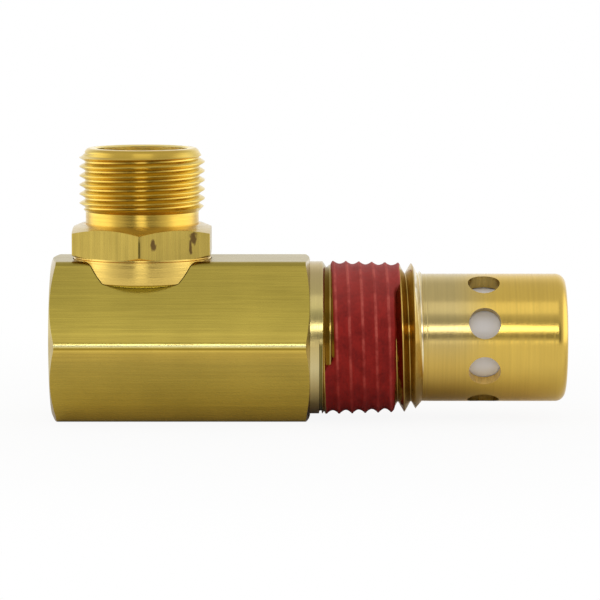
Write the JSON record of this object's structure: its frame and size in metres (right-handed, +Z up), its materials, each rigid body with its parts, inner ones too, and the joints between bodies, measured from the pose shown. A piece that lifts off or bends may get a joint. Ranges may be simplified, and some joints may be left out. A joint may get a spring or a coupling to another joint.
{
  "type": "non-return valve",
  "caption": "Brass in-tank non-return valve: hex body, taper pipe thread with red sealant, ported nose with sprung poppet, right-angle compression inlet for tube.",
  "frame": {"origin": "midway along the valve's length, on the plane of the hexagon's lower flat, below the body's axis", "axes": "+X along the body's axis towards the ported nose, +Z up along the inlet fitting's axis towards the tube"},
  "size_m": [0.0712, 0.0252, 0.0376],
  "materials": {
    "drawn_brass": "satin",
    "turned_brass": "satin",
    "sealant": "matte",
    "ptfe": "satin",
    "spring_steel": "satin"
  },
  "bodies": {
    "body": {"valve_body": "drawn_brass", "inlet_fitting": "turned_brass", "thread_sealant": "sealant", "end_plug": "turned_brass", "return_spring": "spring_steel"},
    "poppet": {"poppet": "ptfe"}
  },
  "joints": [
    {"name": "poppet_lift", "type": "slide", "parent": "body", "child": "poppet", "axis": [1, 0, 0], "range_m": [0, 0.0058], "stiffness_N_per_m": 165, "springref_m": -0.005, "deforming": ["return_spring"]}
  ]
}
